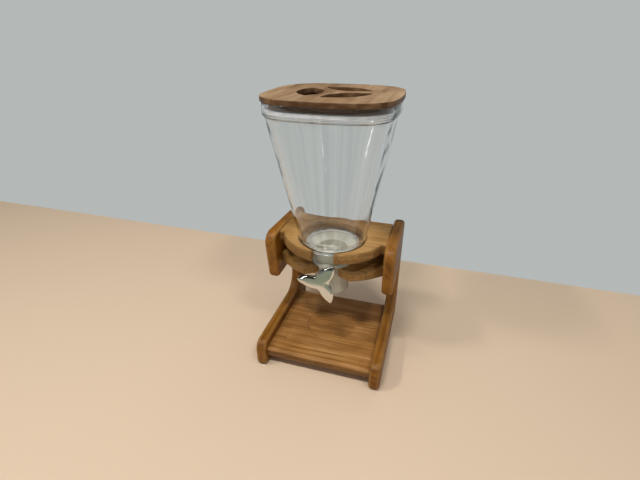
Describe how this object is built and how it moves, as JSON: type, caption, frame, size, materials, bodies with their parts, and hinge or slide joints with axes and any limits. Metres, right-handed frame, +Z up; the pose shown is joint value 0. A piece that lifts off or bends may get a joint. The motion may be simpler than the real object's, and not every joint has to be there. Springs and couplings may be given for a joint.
{
  "type": "gravity bulk food bin",
  "caption": "Gravity dispenser for dry food: clear tapered canister with a wood lid on a wooden stand, emptied by a paddle wheel turned by a metal knob at the front.",
  "frame": {"origin": "centre of the stand's footprint, on the surface it rests on", "axes": "+Z up, +X to the right seen from the front, front (knob side) towards -Y"},
  "size_m": [0.256, 0.2656, 0.527],
  "materials": {
    "panel_wood": "solid light hardwood glued up from staves, satin oil, rounded edges",
    "board_wood": "solid light hardwood glued up from staves, satin oil",
    "shelf_wood": "solid light hardwood, satin oil, grain across the stand",
    "dowel_wood": "plain beech",
    "canister_clear": "clear moulded plastic, glossy, slightly wavy",
    "lid_wood": "glued-up staves, satin oil, darker edge",
    "plug_wood": "dark wood seen through the clear rim",
    "seal_rubber": "soft pale silicone",
    "screw_steel": "zinc plated",
    "housing_clear": "clear moulded plastic, faintly green-grey",
    "bush_plastic": "self-lubricating plastic",
    "shaft_steel": "drawn stainless steel",
    "hub_plastic": "moulded plastic",
    "paddle_rubber": "flexible translucent paddles",
    "knob_chrome": "bright chrome plating",
    "grub_steel": "blackened steel"
  },
  "bodies": {
    "stand": {"base_board": "board_wood", "left_side_panel": "panel_wood", "right_side_panel": "panel_wood", "back_rail": "board_wood", "upper_shelf": "shelf_wood", "lower_shelf": "shelf_wood", "base_dowels": "dowel_wood", "shelf_dowels": "dowel_wood", "rail_dowels": "dowel_wood"},
    "metering_unit": {"metering_housing": "housing_clear", "neck_seal": "seal_rubber", "front_bush": "bush_plastic", "rear_bush": "bush_plastic"},
    "wheel": {"drive_shaft": "shaft_steel", "wheel_hub": "hub_plastic", "wheel_paddles": "paddle_rubber", "hub_pin": "screw_steel", "knob": "knob_chrome", "knob_set_screw": "grub_steel", "retaining_clip": "screw_steel"},
    "canister": {"canister": "canister_clear"},
    "lid": {"lid_board": "lid_wood", "lid_plug": "plug_wood", "lid_seal": "seal_rubber", "lid_screws": "screw_steel"}
  },
  "joints": [
    {"name": "housing_lift", "type": "slide", "parent": "stand", "child": "metering_unit", "axis": [0, 0, 1], "range_m": [0, 0.15]},
    {"name": "wheel_turn", "type": "hinge", "parent": "metering_unit", "child": "wheel", "pos_m": [0, -0.012, 0.205], "axis": [0, 1, 0], "continuous": true},
    {"name": "canister_lift", "type": "slide", "parent": "metering_unit", "child": "canister", "axis": [0, 0, 1], "range_m": [0, 0.12]},
    {"name": "lid_lift", "type": "slide", "parent": "canister", "child": "lid", "axis": [0, 0, 1], "range_m": [0, 0.1]}
  ]
}
